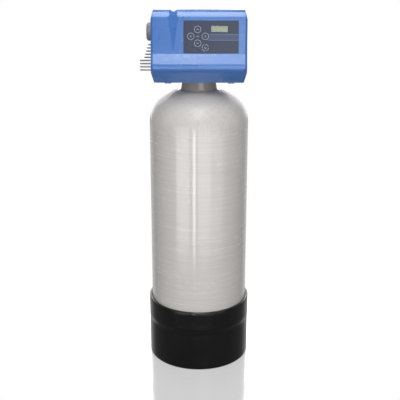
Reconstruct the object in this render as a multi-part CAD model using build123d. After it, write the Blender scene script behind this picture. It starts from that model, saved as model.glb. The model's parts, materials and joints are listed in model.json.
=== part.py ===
from build123d import *
import os
from math import acos, atan, atan2, cos, degrees, pi, radians, sin, sqrt, tan

# Multimedia water filter: a wound pressure vessel in a plastic boot, a control valve on its neck and a
# two-piece housing round the valve. Millimetres. The origin is the centre of the boot's base, +Z is up,
# the control panel faces -Y and the manual knob is on -X.

# Gaps and clearances
seam_gap = 0.3            # between pieces of different bodies
loose_fit = 0.3           # between a piece and the hole or pocket that it sits in
running_fit = 0.05        # radial, of a shaft or piston in its bore
cut_over = 2.0            # how far a cutting shape stands out of what it cuts
edge_margin = 0.01        # for picking edges beside a plane

# Boot
boot_height = 169.0
boot_wall = 7.5
boot_floor = 5.0

# Pressure vessel, wound round a liner
vessel_radius = 128.5
shell_wall = 6.0
shoulder_height = 658.0   # where the straight wall turns into the dome
dome_height = 92.5
dome_wall = 10.0
knuckle_radius = 76.0
neck_radius = 47.5
neck_rise = 21.5          # from the dome's crown to the neck's top
heel_height = 60.0        # of the rounded-in bottom, inside the boot
heel_inset = 40.0
bottom_wall = 11.0
hollow_sides = 24         # the hidden hollow and the beds of grains in it are many-sided, not round
thread_radius = 36.6      # 2.5 inch tank opening

# Filter media, from the bottom up: layer thicknesses
gravel_depth = 130.0
garnet_depth = 75.0
sand_depth = 150.0
anthracite_depth = 170.0

# Riser and distributors
riser_radius = 13.35      # 3/4 inch pipe
riser_wall = 2.6
basket_radius = 27.0
basket_height = 62.0
basket_ribs = 10
basket_rib_depth = 4.0
basket_rib_width = 2.8
top_basket_height = 34.0

# Valve body
valve_thread_clearance = 0.3
flange_radius = 46.0
flange_height = 12.0
flange_sides = 12         # spanner flats
manifold_length = 196.0
manifold_rear = 42.0      # y of the port bosses' faces
manifold_bottom = 24.0    # heights above the neck's top
manifold_top = 70.0
spool_bore_radius = 15.0
spool_bore_floor = 20.0   # above the neck's top
port_spacing = 90.0
port_height = 52.0        # above the neck's top
port_radius = 16.6        # 1 inch male thread
port_bore_radius = 12.5
port_reach = 100.0        # y of the port's mouth
port_boss = 1.0           # of the square boss round each port, beyond the port's radius
boss_overlap = 1.0        # of the boss into the manifold
drain_radius = 10.4       # 1/2 inch male thread
drain_bore_radius = 6.5
inlet_floor = 20.0        # y of the bores' ends in the manifold
outlet_floor = 22.5
drain_floor = 25.5

# Stiffening ribs at the manifold's left end, seen outside the housing
rib_count = 9
rib_pitch = 8.06
rib_thickness = 2.2
rib_top = 80.6            # height of the upper rib's middle above the neck's top
rib_y = 20.0              # of the ribs' and the manifold's middle
rib_depth = 14.0
rib_bevel = 4.0           # at the tips' corners
rib_upper_count = 5       # these step outwards, the rest share the longest reach
rib_upper_reach = 13.4    # of the top rib beyond the housing's end
rib_reach_step = 2.45
rib_reach = 34.7
tower_length = 50.0       # the end tower that carries the ribs
tower_depth = 22.0

# Spool, rack and drive
land_width = 20.0
land_gap = 1.0            # under the cap when the spool is up
rod_radius = 5.0
spool_travel = 24.0
cap_thickness = 7.0
cap_side = 46.0
rack_module = 1.5
pinion_teeth = 16
rack_width = 10.0
rack_bar = 8.0
rack_lead = 10.8          # of the rack above the shaft's axis when the spool is down
drive_module = 1.75
gear_teeth = 20
motor_teeth = 8
gear_width = 7.0
gear_x = 43.0
shaft_height = 114.0      # above the neck's top
shaft_radius = 5.0
square_side = 7.0         # the shaft's end, inside the knob
backlash = 0.16           # share of the pitch that is left free between teeth
tooth_root = 1.25         # depth below the pitch line, in modules
pressure_angle = 20.0
wheel_clearance = 1.0     # round the motor's pinion
bracket_sheet = 3.0
bracket_left = 26.0
bracket_right = 50.0
cheek_step = 14.0         # height at which the motor's cheek widens to the rear
cheek_rise = 17.0         # of the cheeks above the shaft's axis
cam_radius = 8.5
cam_width = 4.0
switch_drop = 3.0
switch_width = 7.0
switch_length = 20.0
switch_height = 10.0
lever_sheet = 0.8
lever_width = 3.0
motor_side = 38.0
motor_box = 24.0
motor_screw_length = 26.0
motor_screw_edge = 7.6    # from the motor's side to the screw
motor_shaft_radius = 2.5

# Knob
knob_radius = 23.0
knob_face_radius = 12.5
knob_length = 16.0
knob_rim = 7.0
knob_sides = 24           # grip flats
pointer_width = 4.0
pointer_depth = 2.0

# Housing: the outline is given as reach in front of the axis and height above the housing's floor
housing_width = 235.0
housing_floor = 1.0       # above the neck's top
housing_back = 78.0
housing_wall = 3.0
parting_reach = 10.0
chin_foot_reach = 84.0
chin_foot_radius = 8.0
nose_reach = 115.3
nose_height = 39.6
nose_radius = 22.0
crease_reach = 101.0
crease_height = 75.0
crease_radius = 12.0
brow_height = 179.2       # where the face's and the roof's lines meet
brow_reach = 87.7
brow_radius = 22.0
roof_fall = 6.0           # degrees, down to the back
top_trim_in = 6.5         # of the end faces' cut-back corners: inwards and in height
top_trim_height = 24.0
bottom_trim_in = 7.0
bottom_trim_height = 27.0
end_bevel = 5.0           # of the housing's end faces
back_bevel = 9.0

# Groove down the cover
groove_edge = 54.9        # of the groove's line from the housing's left end
groove_half_width = 10.4
groove_depth = 6.5
groove_tip_height = 76.0  # above the housing's floor

# Control panel, in the cover's slanted face
panel_edge = 21.2         # from the panel to the housing's right end
panel_height = 114.3      # of its middle above the housing's floor
panel_width = 134.0
panel_drop = 78.5
panel_corner = 3.0
panel_recess = 1.2
panel_sheet = 1.0
window_edge = 46.7        # of the window's middle from the panel's right edge
window_up = 19.3
window_width = 41.0
window_drop = 14.8
window_ledge = 0.6
lcd_margin_x = 3.0        # of the display's case beyond the window
lcd_margin_up = 4.0
key_radius = 9.0
key_sides = 18
key_travel = 0.8
key_proud = 0.4
key_thickness = 1.8
key_stem = 5.0
stem_side = 4.0
switch_side = 6.0
key_field_margin = 2.0    # of the cover's opening round the keys
key_spacing_left = 16.7
key_spacing_right = 18.5
key_spacing_up = 16.4
key_edge = 34.5           # of the middle key from the panel's left edge
key_cluster_up = 1.8
enter_radius = 4.6
regen_up = -25.4
board_depth = 14.0        # from the face to the board's front
board_sheet = 1.6
board_margin = 3.0
chip_width = 30.0         # the relay behind the board
chip_drop = 22.0
chip_height = 9.0
chip_x = 33.5
chip_up = -12.0
boss_side = 7.0
boss_inset = 4.5
boss_root = 0.5           # of the board's bosses in the cover's wall

# Catches under the cover and cut-outs of the rear housing
catch_width = 16.0
catch_drop = 3.0
catch_thickness = 4.0
catch_span = 157.0
catch_x = 1.5
notch_clearance = 2.0
lug_x = 85.0              # the valve body's lugs, which carry the rear housing
lug_side = 14.0
lug_screw_length = 14.0
gate_clearance = 8.0      # of the rear wall's cut-out round the pipe ports
gate_bevel = 10.0
socket_width = 27.0
socket_height = 20.0
socket_depth = 10.0
socket_lip = 3.0
inlet_pin = 2.0
inlet_pin_spacing = 8.8
socket_edge = 23.0        # of the inlet's middle from the housing's right end
socket_up = 128.0         # above the housing's floor

# Screws: small ones, with eight-sided shanks and holes
screw_radius = 2.0
screw_sides = 8
screw_hex = 3.8
screw_head = 3.0
cap_screw_edge = 4.8      # from the cap's side to the screw

# Derived levels and radii
neck_top = shoulder_height + dome_height + neck_rise
bore_radius = vessel_radius - shell_wall
vessel_foot = boot_floor
inner_floor = vessel_foot + bottom_wall
crown_radius = ((vessel_radius - knuckle_radius) ** 2 + dome_height ** 2 - knuckle_radius ** 2) / (
    2 * (dome_height - knuckle_radius)
)
valve_thread_radius = thread_radius - valve_thread_clearance
thread_length = dome_wall + neck_rise
valve_foot = neck_top - thread_length
flange_top = neck_top + flange_height
barrel_top = neck_top + manifold_top
bore_floor = neck_top + spool_bore_floor
shaft_z = neck_top + shaft_height
pinion_radius = rack_module * pinion_teeth / 2
rack_pitch = pi * rack_module
gear_radius = drive_module * gear_teeth / 2
motor_radius = drive_module * motor_teeth / 2
shaft_y = rack_bar / 2 + rack_module * tooth_root + pinion_radius
motor_y = shaft_y + gear_radius + motor_radius
floor_z = neck_top + housing_floor
brow_z = floor_z + brow_height
roof_lean = radians(roof_fall)
half_width = housing_width / 2
groove_x = groove_edge - half_width
socket_x = half_width - socket_edge
panel_x = half_width - panel_edge - panel_width / 2
window_x = panel_width / 2 - window_edge
key_cluster_x = key_edge - panel_width / 2
regen_x = key_cluster_x + key_spacing_right
crease_z = floor_z + crease_height
face_lean = atan2(crease_reach - brow_reach, brow_height - crease_height)
panel_z = floor_z + panel_height
panel_y = -(crease_reach - (panel_z - crease_z) * tan(face_lean))
face = Plane(origin=(panel_x, panel_y, panel_z), x_dir=(1, 0, 0), z_dir=(0, -cos(face_lean), sin(face_lean)))
board_width = panel_width + 2 * board_margin
board_drop = panel_drop
port_z = neck_top + port_height
rib_zs = [neck_top + rib_top - i * rib_pitch for i in range(rib_count)]
tower_top = rib_zs[0] + rib_thickness
tower_left = -manifold_length / 2
tower_right = tower_left + tower_length
screw_reach = cap_side / 2 - cap_screw_edge


def at(x, y, z):
    return Location((x, y, z))


def block(x0, x1, y0, y1, z0, z1):
    """A box between two corners."""
    middle = at((x0 + x1) / 2, (y0 + y1) / 2, (z0 + z1) / 2)
    return middle * Box(x1 - x0, y1 - y0, z1 - z0)


def upright(radius, z0, z1, x=0.0, y=0.0):
    return at(x, y, (z0 + z1) / 2) * Cylinder(radius, z1 - z0)


def along_x(radius, x0, x1, y, z):
    return Plane(origin=(x0, y, z), z_dir=(1, 0, 0)) * extrude(Circle(radius), x1 - x0)


def along_y(radius, y0, y1, x, z):
    return Plane(origin=(x, y0, z), z_dir=(0, 1, 0)) * extrude(Circle(radius), y1 - y0)


def hex_screw(place, shank):
    """A hexagon-head screw: the head stands on the place's plane, the shank goes below it."""
    head = extrude(RegularPolygon(screw_hex, 6), screw_head)
    stem = extrude(RegularPolygon(screw_radius, screw_sides), -shank)
    return place * (head + stem)


def screw_hole(place, depth):
    return place * extrude(RegularPolygon(screw_radius + loose_fit, screw_sides), -depth)


def turned(points):
    """A solid of revolution about Z from a half section in the XZ plane."""
    return revolve(Plane.XZ * make_face(Polyline(*points, close=True)), Axis.Z)


# Boot and vessel
def base_boot():
    inside = vessel_radius + loose_fit
    outside = inside + boot_wall
    wall = [(outside, 0), (outside, boot_height), (inside, boot_height)]
    return turned([(0, 0), *wall, (inside, boot_floor), (0, boot_floor)])


def shell_blank():
    """The vessel's outside: a straight wall, knuckle and crown arcs, the neck and a drawn-in bottom."""
    joint = degrees(atan2(crown_radius - dome_height, vessel_radius - knuckle_radius))
    crown_z = shoulder_height + dome_height - crown_radius
    neck_angle = degrees(acos(neck_radius / crown_radius))
    knuckle = CenterArc((vessel_radius - knuckle_radius, shoulder_height), knuckle_radius, 0, joint)
    crown = CenterArc((0, crown_z), crown_radius, joint, neck_angle - joint)
    rest = Polyline(
        crown @ 1,
        (neck_radius, neck_top),
        (0, neck_top),
        (0, vessel_foot),
        (vessel_radius - heel_inset, vessel_foot),
        (vessel_radius, vessel_foot + heel_height),
        (vessel_radius, shoulder_height),
    )
    return revolve(Plane.XZ * make_face([knuckle, crown, rest]), Axis.Z)


def many_sided(radius, z0, z1, low_bevel=None, high_bevel=None):
    """An upright many-sided block, its corners at the radius. A bevel is its reach and its height."""
    shape = at(0, 0, z0) * extrude(RegularPolygon(radius, hollow_sides), z1 - z0)
    for bevel, z in ((low_bevel, z0), (high_bevel, z1)):
        if bevel is None:
            continue
        inset, height = bevel
        end = shape.faces().filter_by(Axis.Z).sort_by_distance((0, 0, z))[0]
        shape = chamfer(end.edges(), inset * cos(pi / hollow_sides), height, reference=end)
    return shape


heel_bevel = (heel_inset, heel_height - bottom_wall)


def vessel_shell():
    halfway = (knuckle_radius - shell_wall) * cos(pi / 4)
    waist_radius = vessel_radius - knuckle_radius + halfway
    waist_z = shoulder_height + halfway
    shoulder_bevel = (bore_radius - waist_radius, halfway)
    crown_bevel = (waist_radius - thread_radius, valve_foot - waist_z)
    inside = many_sided(bore_radius, inner_floor, waist_z, heel_bevel, shoulder_bevel)
    inside += many_sided(waist_radius, waist_z - shell_wall, valve_foot, None, crown_bevel)
    return shell_blank() - inside - upright(thread_radius, valve_foot - dome_wall, neck_top)


def riser_foot():
    return inner_floor + riser_wall


def riser_tube():
    top = bore_floor
    return upright(riser_radius, riser_foot(), top) - upright(riser_radius - riser_wall, riser_foot(), top)


def basket(height, bore):
    """A slotted basket: straight ribs round a core, open to the riser's tube."""
    pitch = 360 / basket_ribs
    core = basket_radius - basket_rib_depth
    shape = RegularPolygon(core, basket_ribs, rotation=pitch / 2)
    for i in range(basket_ribs):
        shape += Rot(0, 0, i * pitch) * Pos(core, 0) * Rectangle(2 * basket_rib_depth, basket_rib_width)
    return extrude(shape - RegularPolygon(bore, basket_ribs, major_radius=False), height)


def bottom_distributor():
    shape = basket(basket_height, riser_radius + loose_fit)
    floor = extrude(RegularPolygon(basket_radius - basket_rib_depth, basket_ribs), riser_wall)
    return at(0, 0, inner_floor) * (shape + floor)


def top_distributor():
    shape = basket(top_basket_height, riser_radius + loose_fit)
    return at(0, 0, valve_foot - top_basket_height) * shape


gravel_top = inner_floor + gravel_depth
garnet_top = gravel_top + garnet_depth
sand_top = garnet_top + sand_depth
anthracite_top = sand_top + anthracite_depth


def bed(z0, z1, low_bevel=None):
    """A bed of grains: it fills the vessel between two levels and leaves room for the riser."""
    hole = extrude(RegularPolygon(riser_radius + loose_fit, basket_ribs, major_radius=False), z1 - z0)
    return many_sided(bore_radius - loose_fit, z0, z1, low_bevel) - at(0, 0, z0) * hole


def gravel_bed():
    pocket = extrude(RegularPolygon(basket_radius + basket_rib_depth, basket_ribs), basket_height)
    return bed(inner_floor, gravel_top, heel_bevel) - at(0, 0, inner_floor) * pocket


def garnet_bed():
    return bed(gravel_top, garnet_top)


def sand_bed():
    return bed(garnet_top, sand_top)


def anthracite_bed():
    return bed(sand_top, anthracite_top)


# Valve
def rib_tip(i):
    reach = rib_upper_reach + rib_reach_step * i if i < rib_upper_count else rib_reach
    return -half_width - reach


def rib_plate(i):
    """One rib, from its tip outside the housing to the valve block, or to the end tower's right side."""
    tall = rib_zs[i] + rib_thickness > barrel_top
    right = tower_right if tall else -cap_side / 2
    z0 = rib_zs[i] - rib_thickness / 2
    y0 = rib_y - rib_depth / 2
    plate = block(rib_tip(i), right, y0, y0 + rib_depth, z0, z0 + rib_thickness)
    tips = plate.edges().filter_by(Axis.Z).sort_by(Axis.X)[:2]
    return chamfer(tips, rib_bevel)


ports = [
    (-port_spacing / 2, port_radius, port_bore_radius, inlet_floor),
    (port_spacing / 2, port_radius, port_bore_radius, outlet_floor),
    (0, drain_radius, drain_bore_radius, drain_floor),
]
port_face = manifold_rear


def cap_corner(x_side, y_side, z):
    return Location((x_side * screw_reach, y_side * screw_reach, z))


corners = [(-1, -1), (-1, 1), (1, -1), (1, 1)]


def lug_places(y):
    """Where the rear housing's two screws cross a plane at y."""
    return [at(side * lug_x, y, port_z) * Rot(-90, 0, 0) for side in (-1, 1)]


def valve_body():
    """The moulded body: tank thread and flange, the spool's block, the manifold, ribs, ports and lugs."""
    half = manifold_length / 2
    side = cap_side / 2
    low = neck_top + manifold_bottom
    core_front = rib_y - tower_depth / 2
    core_rear = rib_y + tower_depth / 2
    body = upright(valve_thread_radius, valve_foot, neck_top)
    body += at(0, 0, neck_top) * extrude(RegularPolygon(flange_radius, flange_sides), flange_height)
    body += block(-side, side, -side, side, flange_top, barrel_top)
    body += block(-half, half, core_front, core_rear, low, barrel_top)
    body += block(tower_left, tower_right, core_front, core_rear, low, tower_top)
    for i in range(rib_count):
        body += rib_plate(i)
    riser_seat = RegularPolygon(riser_radius + loose_fit, basket_ribs, major_radius=False)
    holes = at(0, 0, valve_foot) * extrude(riser_seat, bore_floor - valve_foot)
    holes += upright(spool_bore_radius, bore_floor, barrel_top)
    for x, radius, bore, floor in ports:
        boss = radius + port_boss
        body += block(x - boss, x + boss, core_rear - boss_overlap, port_face, port_z - boss, barrel_top)
        body += along_y(radius, port_face, port_reach, x, port_z)
        holes += along_y(bore, floor, port_reach, x, port_z)
    for x_side, y_side in corners:
        holes += screw_hole(cap_corner(x_side, y_side, barrel_top), cap_thickness)
    wall_inside = housing_back - housing_wall
    for place in lug_places(wall_inside):
        body += place * extrude(Rectangle(lug_side, lug_side), core_rear - wall_inside)
        holes += screw_hole(place, lug_screw_length)
    return body - holes


def housing_screws():
    return Compound([hex_screw(place, lug_screw_length) for place in lug_places(housing_back)])


land_top = barrel_top - land_gap
rack_foot = shaft_z - pinion_radius
rack_top = shaft_z + rack_lead + spool_travel


def spool_piston():
    piston = upright(spool_bore_radius - running_fit, land_top - land_width, land_top)
    return piston + upright(rod_radius, land_top, rack_foot)


def spool_cap():
    half = cap_side / 2
    plate = block(-half, half, -half, half, barrel_top, barrel_top + cap_thickness)
    plate = chamfer(plate.edges().filter_by(Axis.Z), screw_radius)
    plate -= upright(rod_radius + running_fit, barrel_top, barrel_top + cap_thickness)
    for x_side, y_side in corners:
        plate -= screw_hole(cap_corner(x_side, y_side, barrel_top + cap_thickness), cap_thickness)
    return plate


def cap_screws():
    top = barrel_top + cap_thickness
    shank = 2 * cap_thickness - loose_fit
    return Compound([hex_screw(cap_corner(x_side, y_side, top), shank) for x_side, y_side in corners])


def tooth_half(pitch):
    return pitch * (0.25 - backlash / 4)


def piston_rack():
    """The rack at the rod's upper end: a flat bar with teeth on the side of the drive shaft."""
    root_y = shaft_y - pinion_radius - rack_module * tooth_root
    tip_y = shaft_y - pinion_radius + rack_module
    bar = block(-rack_width / 2, rack_width / 2, -rack_bar / 2, root_y, rack_foot, rack_top)
    teeth_above = int((rack_top - shaft_z) / rack_pitch)
    teeth_below = int((shaft_z - rack_foot) / rack_pitch)
    half = tooth_half(rack_pitch)
    slope = tan(radians(pressure_angle))
    side = Plane(origin=(-rack_width / 2, 0, 0), x_dir=(0, 1, 0), z_dir=(1, 0, 0))
    for i in range(-teeth_below, teeth_above):
        z = shaft_z + (i + 0.5) * rack_pitch
        root = half + slope * rack_module * tooth_root
        tip = half - slope * rack_module
        tooth = make_face(
            Polyline((root_y, z - root), (tip_y, z - tip), (tip_y, z + tip), (root_y, z + root), close=True)
        )
        bar += extrude(side * tooth, rack_width)
    return bar


def gear_outline(teeth, module, phase):
    """Straight-flanked teeth. The phase is the angle of the first tooth's middle, in degrees."""
    pitch_angle = 2 * pi / teeth
    radius = module * teeth / 2
    root, tip = radius - tooth_root * module, radius + module
    half = tooth_half(pitch_angle)
    lean = tan(radians(pressure_angle))
    root_half = half + lean * tooth_root * module / radius
    tip_half = half - lean * module / radius
    points = []
    for i in range(teeth):
        middle = radians(phase) + i * pitch_angle
        for r, turn in ((root, -root_half), (tip, -tip_half), (tip, tip_half), (root, root_half)):
            points.append((r * cos(middle + turn), r * sin(middle + turn)))
    return make_face(Polyline(*points, close=True))


def gear(teeth, module, phase, x0, x1, y, z):
    plane = Plane(origin=(x0, y, z), x_dir=(0, 1, 0), z_dir=(1, 0, 0))
    return plane * extrude(gear_outline(teeth, module, phase), x1 - x0)


cam_x = -(rack_width + cam_width) / 2
cam_half = cam_radius / sqrt(2)
shaft_end = bracket_right + bracket_sheet - seam_gap
wall_x = -half_width
knob_base = wall_x - seam_gap


def drive_shaft():
    """The shaft with its moulded-on rack pinion and cam, and a square end for the knob."""
    shaft = along_x(shaft_radius, knob_base, shaft_end, shaft_y, shaft_z)
    shaft += gear(pinion_teeth, rack_module, 180, -rack_width / 2, rack_width / 2, shaft_y, shaft_z)
    cam = block(
        cam_x - cam_width / 2,
        cam_x + cam_width / 2,
        shaft_y - cam_half,
        shaft_y + cam_half,
        shaft_z - cam_half,
        shaft_z + cam_half,
    )
    square = block(
        knob_base - knob_rim,
        knob_base,
        shaft_y - square_side / 2,
        shaft_y + square_side / 2,
        shaft_z - square_side / 2,
        shaft_z + square_side / 2,
    )
    return shaft + cam + square


def main_gear():
    half = gear_width / 2
    wheel = gear(gear_teeth, drive_module, 0, gear_x - half, gear_x + half, shaft_y, shaft_z)
    return wheel - along_x(shaft_radius, gear_x - half, gear_x + half, shaft_y, shaft_z)


def motor_pinion():
    half = gear_width / 2
    phase = 180 + 180 / motor_teeth
    wheel = gear(motor_teeth, drive_module, phase, gear_x - half, gear_x + half, motor_y, shaft_z)
    axle_plane = Plane(origin=(gear_x + half, motor_y, shaft_z), x_dir=(0, 1, 0), z_dir=(1, 0, 0))
    axle_length = bracket_right + bracket_sheet - gear_x - half
    axle = extrude(Circle(motor_shaft_radius), axle_length)
    return wheel + axle_plane * axle


motor_hole = motor_radius + drive_module + wheel_clearance


def motor_screw_places():
    """On the motor's end face, in two opposite corners."""
    offset = motor_side / 2 - motor_screw_edge
    x = bracket_right + bracket_sheet + motor_box
    return [
        Plane(origin=(x, motor_y + side * offset, shaft_z - side * offset), x_dir=(0, 1, 0), z_dir=(1, 0, 0))
        for side in (-1, 1)
    ]


def motor_screws():
    return Compound([hex_screw(Location(place), motor_screw_length) for place in motor_screw_places()])


def drive_bracket():
    """A bent sheet: a base on the manifold and two cheeks that carry the shaft and the motor."""
    base = barrel_top
    top = shaft_z + cheek_rise
    left, right = -bracket_left - bracket_sheet, bracket_right + bracket_sheet
    sheet = block(left, right, cap_side / 2 + loose_fit, port_face, base, base + bracket_sheet)
    front = shaft_y - cheek_rise
    sheet += block(left, -bracket_left, front, port_face, base, top)
    sheet += block(bracket_right, right, front, port_face, base, top)
    sheet += block(bracket_right, right, port_face, motor_y + motor_side / 2, base + cheek_step, top)
    sheet -= along_x(shaft_radius + running_fit, left, right, shaft_y, shaft_z)
    for place in motor_screw_places():
        sheet -= screw_hole(Location(place), motor_box + bracket_sheet)
    y0, y1 = motor_y - motor_hole, motor_y + motor_hole
    return sheet - block(bracket_right, right, y0, y1, shaft_z - motor_hole, shaft_z + motor_hole)


def gear_motor():
    x0 = bracket_right + bracket_sheet
    x1 = x0 + motor_box
    half = motor_side / 2
    body = block(x0, x1, motor_y - half, motor_y + half, shaft_z - half, shaft_z + half)
    body = chamfer(body.edges().filter_by(Axis.X), screw_hex)
    for place in motor_screw_places():
        body -= screw_hole(Location(place), motor_box)
    return body


def position_switch():
    """A small switch on the left cheek, its lever just clear of the cam's corners."""
    left = -bracket_left
    top = shaft_z - cam_radius - switch_drop
    right = left + switch_width
    half = switch_length / 2
    body = block(left, right, shaft_y - half, shaft_y + half, top - switch_height, top)
    lever_top = shaft_z - cam_radius - seam_gap
    y0, y1 = shaft_y - lever_width / 2, shaft_y + lever_width / 2
    lever = block(left, cam_x, y0, y1, lever_top - lever_sheet, lever_top)
    foot = block(left, right, y0, y1, top, lever_top)
    return body + foot + lever


def manual_knob():
    """A many-sided knob that narrows to its face, with a square socket and a pointer slot."""
    taper = degrees(atan((knob_radius - knob_face_radius) / (knob_length - knob_rim)))
    outline = RegularPolygon(knob_radius, knob_sides)
    nose = extrude(outline, knob_length - knob_rim, taper=taper)
    knob = extrude(outline, knob_rim) + Pos(0, 0, knob_rim) * nose
    side = square_side + 2 * running_fit
    knob -= extrude(Rectangle(side, side), knob_rim + loose_fit)
    slot = extrude(Rectangle(pointer_width, knob_radius), pointer_depth)
    knob -= Pos(0, knob_radius / 2, knob_length - pointer_depth) * slot
    return Plane(origin=(knob_base, shaft_y, shaft_z), x_dir=(0, -1, 0), z_dir=(-1, 0, 0)) * knob


# Housing
def roof_at(y):
    return brow_z - (y + brow_reach) * tan(roof_lean)


def groove_section(depth):
    """The groove's V, open upwards from a point on the surface, with its tip at the depth below that."""
    half = groove_half_width * depth / groove_depth
    spread = half * (depth + cut_over) / depth
    return make_face(Polyline((-spread, cut_over), (0, -depth), (spread, cut_over), close=True))


def groove_roof(grow, y0, y1):
    """The V along the housing's roof, from y0 at the back to y1, grown inwards for the wall's inner side."""
    section = Plane(origin=(groove_x, y0, roof_at(y0)), x_dir=(1, 0, 0), z_dir=(0, -1, 0))
    along = (0, -cos(roof_lean), sin(roof_lean))
    return extrude(section * groove_section(groove_depth + grow), (y0 - y1) / cos(roof_lean), dir=along)


def groove_brow(grow):
    """The V across the rounded brow, along the tangent at the rounding's middle."""
    half_turn = (pi / 2 + roof_lean - face_lean) / 2
    lean = half_turn - roof_lean
    corner_to_arc = brow_radius / cos(half_turn) - brow_radius
    middle = (
        groove_x,
        -brow_reach + corner_to_arc * sin(lean),
        brow_z - corner_to_arc * cos(lean),
    )
    along = (0, -cos(lean), -sin(lean))
    section = Plane(origin=middle, x_dir=(1, 0, 0), z_dir=along)
    return extrude(section * groove_section(groove_depth + grow), brow_radius, both=True)


def groove_wedge(grow):
    """The V down the slanted face, deepest at the roof and ending in a point."""
    run = (brow_height - groove_tip_height) / cos(face_lean)
    depth = groove_depth + grow
    half = groove_half_width * depth / groove_depth
    reach = run * depth / groove_depth
    top_depth = depth + cut_over * depth / reach
    top_half = half * top_depth / depth
    brow = (groove_x, -brow_reach, brow_z)
    along = Plane(origin=brow, x_dir=(1, 0, 0), z_dir=(0, -cos(face_lean), sin(face_lean)))
    top_spread = top_half * (top_depth + cut_over) / top_depth
    section = Plane(
        origin=(along * Pos(0, cut_over, 0)).position, x_dir=(1, 0, 0), z_dir=along.y_dir
    ) * make_face(Polyline((-top_spread, -cut_over), (0, top_depth), (top_spread, -cut_over), close=True))
    foot_run = reach + reach * cut_over / depth
    tip = Vertex(*(along * Pos(0, -foot_run, cut_over)).position)
    return loft([section, tip])


def front_outline(back):
    """Side outline of the front cover in Y and Z, from its rear end at back round the front and back."""
    corners_yz = [
        (back, floor_z),
        (-chin_foot_reach, floor_z),
        (-nose_reach, floor_z + nose_height),
        (-crease_reach, crease_z),
        (-brow_reach, brow_z),
        (back, roof_at(back)),
    ]
    outline = make_face(Polyline(*corners_yz, close=True))
    rounds = [(1, chin_foot_radius), (2, nose_radius), (3, crease_radius), (4, brow_radius)]
    for index, radius in rounds:
        y, z = corners_yz[index]
        corner = outline.vertices().sort_by_distance((y, z, 0))[0]
        outline = fillet(corner, radius)
    return outline


def rear_outline(front):
    """Side outline of the rear housing in Y and Z, from its front end to the back."""
    roof_end = (housing_back, roof_at(housing_back))
    outline = make_face(
        Polyline((front, floor_z), (front, roof_at(front)), roof_end, (housing_back, floor_z), close=True)
    )
    corner = outline.vertices().sort_by_distance((*roof_end, 0))[0]
    return chamfer(corner, back_bevel)


def end_outline(wall):
    """The housing's outline seen from the front, in X and Z, less the wall. Its corners are cut back."""
    half = half_width - wall
    low = floor_z + wall
    points = []
    for side in (-1, 1):
        profile = [
            (side * (half - bottom_trim_in), low),
            (side * half, low + bottom_trim_height),
            (side * half, brow_z - wall - top_trim_height),
            (side * (half - top_trim_in), brow_z - wall),
        ]
        points += profile if side > 0 else profile[::-1]
    return make_face(Polyline(*points, close=True))


def trimmed(outline, wall):
    """The outline run from end to end of the housing, with the end faces' corners cut back."""
    bar = extrude(side_plane(-half_width) * outline, housing_width)
    frame = Plane(origin=(0, housing_back + cut_over, 0), x_dir=(1, 0, 0), z_dir=(0, -1, 0))
    return bar & extrude(frame * end_outline(wall), housing_back + nose_reach + 2 * cut_over)


def side_plane(x):
    return Plane(origin=(x, 0, 0), x_dir=(0, 1, 0), z_dir=(1, 0, 0))


def end_bevelled(outline, is_rim):
    """The outline run from end to end of the housing, with a bevel along the picked edges of its ends."""
    blank = extrude(side_plane(-half_width) * outline, housing_width)
    rim = [e for f in blank.faces().filter_by(Axis.X) for e in f.edges() if is_rim(e.center())]
    return chamfer(rim, end_bevel)


def neck_notch():
    return upright(flange_radius + notch_clearance, floor_z - catch_drop, flange_top + notch_clearance)


def catches():
    shape = None
    for side in (-1, 1):
        middle = catch_x + side * catch_span / 2
        tab = block(
            middle - catch_width / 2,
            middle + catch_width / 2,
            -chin_foot_reach + chin_foot_radius,
            -chin_foot_reach + chin_foot_radius + catch_thickness,
            floor_z - catch_drop,
            floor_z,
        )
        shape = tab if shape is None else shape + tab
    return shape


def panel_pocket(width, drop, top, depth, x=0.0, up=0.0):
    """A pocket or plate in the panel's plane, from top to depth below the cover's face."""
    sketch = Pos(x, up, -depth) * Rectangle(width, drop)
    return face * extrude(sketch, depth - top)


def boss_places():
    half_x = board_width / 2 - boss_inset
    half_up = board_drop / 2 - boss_inset
    return [(x_side * half_x, up_side * half_up) for x_side, up_side in corners]


def key_places():
    x, up = key_cluster_x, key_cluster_up
    return {
        "up_key": (x, up + key_spacing_up, key_radius),
        "left_key": (x - key_spacing_left, up, key_radius),
        "enter_key": (x, up, enter_radius),
        "right_key": (x + key_spacing_right, up, key_radius),
        "down_key": (x, up - key_spacing_up, key_radius),
        "regeneration_key": (regen_x, regen_up, key_radius),
    }


def key_field():
    """The opening in the cover behind the keys."""
    left = key_cluster_x - key_spacing_left - key_radius
    right = key_cluster_x + key_spacing_right + key_radius
    low = regen_up - key_radius
    high = key_cluster_up + key_spacing_up + key_radius
    extra = 2 * key_field_margin
    return (right - left + extra, high - low + extra, (left + right) / 2, (low + high) / 2)


def front_cover():
    back = -parting_reach
    inner_back = back + 2 * housing_wall
    blank = end_bevelled(front_outline(back), lambda c: c.Y < back - edge_margin)
    cavity = trimmed(offset(front_outline(inner_back), -housing_wall), housing_wall)
    cavity -= groove_roof(housing_wall, inner_back, -brow_reach)
    cavity -= groove_brow(housing_wall)
    cavity -= groove_wedge(housing_wall)
    cover = trimmed(front_outline(back), 0) & blank
    cover -= cavity
    cover -= groove_roof(0, back + cut_over, -brow_reach)
    cover -= groove_brow(0)
    cover -= groove_wedge(0)
    cover -= neck_notch()
    cover += catches()
    width, drop, x, up = key_field()
    through = housing_wall + cut_over
    cover -= panel_pocket(panel_width + loose_fit, panel_drop + loose_fit, -cut_over, panel_recess)
    cover -= panel_pocket(width, drop, 0, through, x, up)
    cover -= panel_pocket(
        window_width - 2 * window_ledge, window_drop - 2 * window_ledge, 0, through, window_x, window_up
    )
    for x, up in boss_places():
        cover += panel_pocket(boss_side, boss_side, housing_wall - boss_root, board_depth, x, up)
    return cover


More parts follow.
